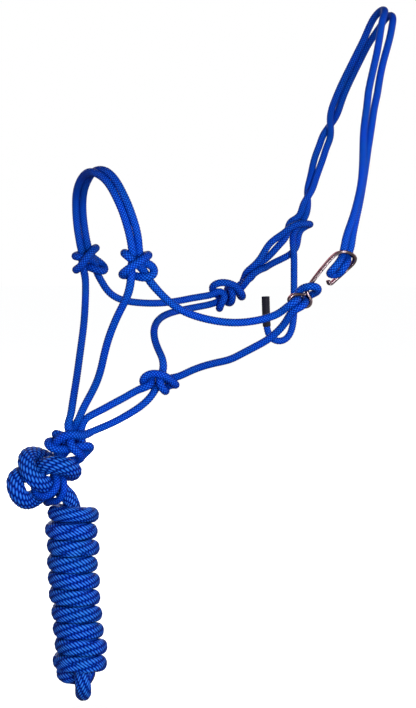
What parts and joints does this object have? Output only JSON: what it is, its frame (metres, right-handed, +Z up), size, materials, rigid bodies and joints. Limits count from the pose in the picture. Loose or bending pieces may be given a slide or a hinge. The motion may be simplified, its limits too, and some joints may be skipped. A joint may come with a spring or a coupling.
{
  "type": "rope halter",
  "caption": "Knotted cord halter for a pony with a doubled noseband, a tied crown with a flat-wire hook, and a thick lead rope coiled into a hank.",
  "frame": {"origin": "inside top of the crown, where the halter hangs over a peg", "axes": "+Z up, -X towards the nose, -Y the near (left) side of the horse"},
  "size_m": [0.3552, 0.1797, 0.6002],
  "materials": {
    "halter_cord": "braided cord",
    "lead_rope": "solid braid rope",
    "hook_metal": "polished",
    "sleeve": "matt heat-shrink"
  },
  "bodies": {
    "halter": {"crown_tie": "halter_cord", "far_loop": "halter_cord", "far_cheek_knot": "halter_cord", "far_throat_cord": "halter_cord", "throat_knot": "halter_cord", "fiador_lower_cord": "halter_cord", "near_chin_cord": "halter_cord", "near_nose_knot": "halter_cord", "far_nose_knot": "halter_cord", "far_chin_cord": "halter_cord", "fiador_upper_cord": "halter_cord", "near_throat_cord": "halter_cord", "near_cheek_cord": "halter_cord", "far_cheek_cord": "halter_cord"},
    "noseband": {"noseband_cord_front": "halter_cord", "noseband_cord_rear": "halter_cord"},
    "hook": {"crown_bight": "halter_cord", "near_loop": "halter_cord", "hook": "hook_metal"},
    "crown": {"crown_cord_inner": "halter_cord", "crown_cord_outer": "halter_cord"},
    "tail": {"tail_cord": "halter_cord", "tail_sleeve": "sleeve"},
    "fiador": {"fiador_knot": "halter_cord", "fiador_loop_outer": "halter_cord", "fiador_loop_inner": "halter_cord", "lead_knot": "lead_rope"},
    "lead_link": {"lead_neck": "lead_rope"},
    "hank": {"hank_core_front": "lead_rope", "hank_end_loop": "lead_rope", "hank_core_rear": "lead_rope", "hank_wraps": "lead_rope", "hank_tail": "lead_rope"}
  },
  "joints": [
    {"name": "noseband_fold", "type": "hinge", "parent": "halter", "child": "noseband", "pos_m": [-0.2538, -0.0565, -0.2], "axis": [-0.1179, 0.9921, 0.0428], "range_deg": [-35, 35]},
    {"name": "hook_swing", "type": "hinge", "parent": "halter", "child": "hook", "pos_m": [-0.0478, 0.0715, -0.1681], "axis": [-0.4328, -0.7634, -0.4796], "range_deg": [-12, 12]},
    {"name": "crown_fold", "type": "hinge", "parent": "hook", "child": "crown", "pos_m": [-0.0478, 0.0715, -0.1681], "axis": [-0.1614, -0.962, -0.2201], "range_deg": [-25, 25]},
    {"name": "tail_swing", "type": "hinge", "parent": "halter", "child": "tail", "pos_m": [-0.0591, 0.0704, -0.2128], "axis": [0, 1, 0], "range_deg": [-45, 15]},
    {"name": "fiador_swing", "type": "hinge", "parent": "halter", "child": "fiador", "pos_m": [-0.2863, 0.0012, -0.3541], "axis": [0, 1, 0], "range_deg": [-15, 12]},
    {"name": "hank_swing", "type": "hinge", "parent": "fiador", "child": "lead_link", "pos_m": [-0.3, 0.0036, -0.4091], "axis": [0, -1, 0], "range_deg": [0, 25]},
    {"name": "hank_twist", "type": "hinge", "parent": "lead_link", "child": "hank", "pos_m": [-0.294, -0.0004, -0.4182], "axis": [0, 0, 1], "range_deg": [-10, 60]}
  ]
}
